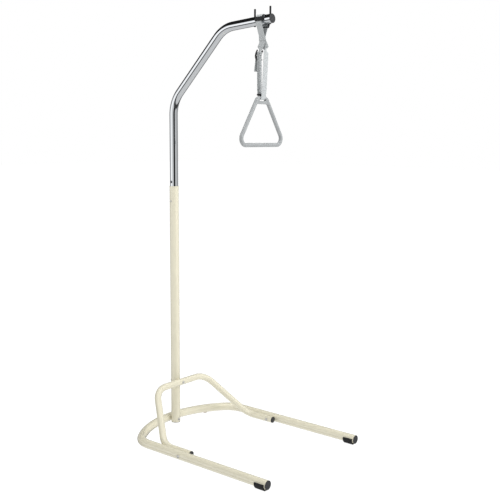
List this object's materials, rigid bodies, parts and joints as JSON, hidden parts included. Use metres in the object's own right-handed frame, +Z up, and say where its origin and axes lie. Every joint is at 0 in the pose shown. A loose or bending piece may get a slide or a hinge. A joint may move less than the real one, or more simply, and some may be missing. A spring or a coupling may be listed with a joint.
{
  "type": "patient lift",
  "caption": "Free-standing bed lifting pole: bent tube floor frame, bracing hoop, upright and sliding chrome mast with a triangular grab handle on a webbing strap.",
  "frame": {"origin": "middle of the overall box, at floor level", "axes": "+Z up; the legs and the arm point to -Y; +X is to the right seen from the leg tips"},
  "size_m": [0.6866, 0.8796, 1.8939],
  "materials": {
    "cream_enamel": "cream powder coat, satin gloss",
    "black_caps": "moulded black plastic",
    "foot_rubber": "black rubber",
    "zinc_fasteners": "bright zinc plating",
    "nylon_glides": "natural nylon",
    "chrome_mast": "polished chrome plating",
    "grey_webbing": "woven grey polyester webbing",
    "black_buckles": "moulded black plastic",
    "grey_handle": "light grey moulded plastic"
  },
  "bodies": {
    "base": {"base_frame": "cream_enamel", "support_hoop": "cream_enamel", "lower_upright": "cream_enamel", "upright_collar": "cream_enamel", "upright_foot_plug": "black_caps", "leg_end_cap_left": "black_caps", "leg_end_cap_right": "black_caps", "hoop_end_cap_left": "black_caps", "hoop_end_cap_right": "black_caps", "front_foot_left": "foot_rubber", "front_foot_right": "foot_rubber", "foot_screw_left": "zinc_fasteners", "foot_screw_right": "zinc_fasteners", "rear_glide_left": "nylon_glides", "rear_glide_right": "nylon_glides", "hoop_bolt": "zinc_fasteners", "hoop_nut": "zinc_fasteners", "base_bolt": "zinc_fasteners", "base_nut": "zinc_fasteners", "leg_left_bolt": "zinc_fasteners", "leg_left_nut": "zinc_fasteners", "leg_right_bolt": "zinc_fasteners", "leg_right_nut": "zinc_fasteners", "clamp_screw": "zinc_fasteners"},
    "mast_foot": {"mast_foot_plug": "black_caps"},
    "mast": {"mast": "chrome_mast", "arm_end_cap": "black_caps", "inner_strap_pin": "black_buckles", "outer_strap_pin": "black_buckles"},
    "strap_upper": {"strap_loop": "grey_webbing", "near_slide": "black_buckles", "far_slide": "black_buckles"},
    "strap_lower": {"strap_sling": "grey_webbing", "strap_short_end": "grey_webbing", "adjuster_buckle": "black_buckles", "strap_keeper": "black_buckles"},
    "handle": {"grab_handle": "grey_handle"}
  },
  "joints": [
    {"name": "mast_height", "type": "slide", "parent": "base", "child": "mast_foot", "axis": [0, 0, 1], "range_m": [-0.089, 0.089]},
    {"name": "mast_swivel", "type": "hinge", "parent": "mast_foot", "child": "mast", "pos_m": [0, 0.3742, 0.838], "axis": [0, 0, 1], "continuous": true},
    {"name": "strap_sway", "type": "hinge", "parent": "mast", "child": "strap_upper", "pos_m": [0, -0.1408, 1.84051], "axis": [0, -0.9976, 0.0698], "range_deg": [-45, 45]},
    {"name": "strap_swing", "type": "hinge", "parent": "strap_upper", "child": "strap_lower", "pos_m": [0, -0.1408, 1.76801], "axis": [1, 0, 0], "range_deg": [-30, 30]},
    {"name": "handle_pivot", "type": "hinge", "parent": "strap_lower", "child": "handle", "pos_m": [0, -0.1408, 1.52601], "axis": [1, 0, 0], "range_deg": [-75, 75]}
  ]
}
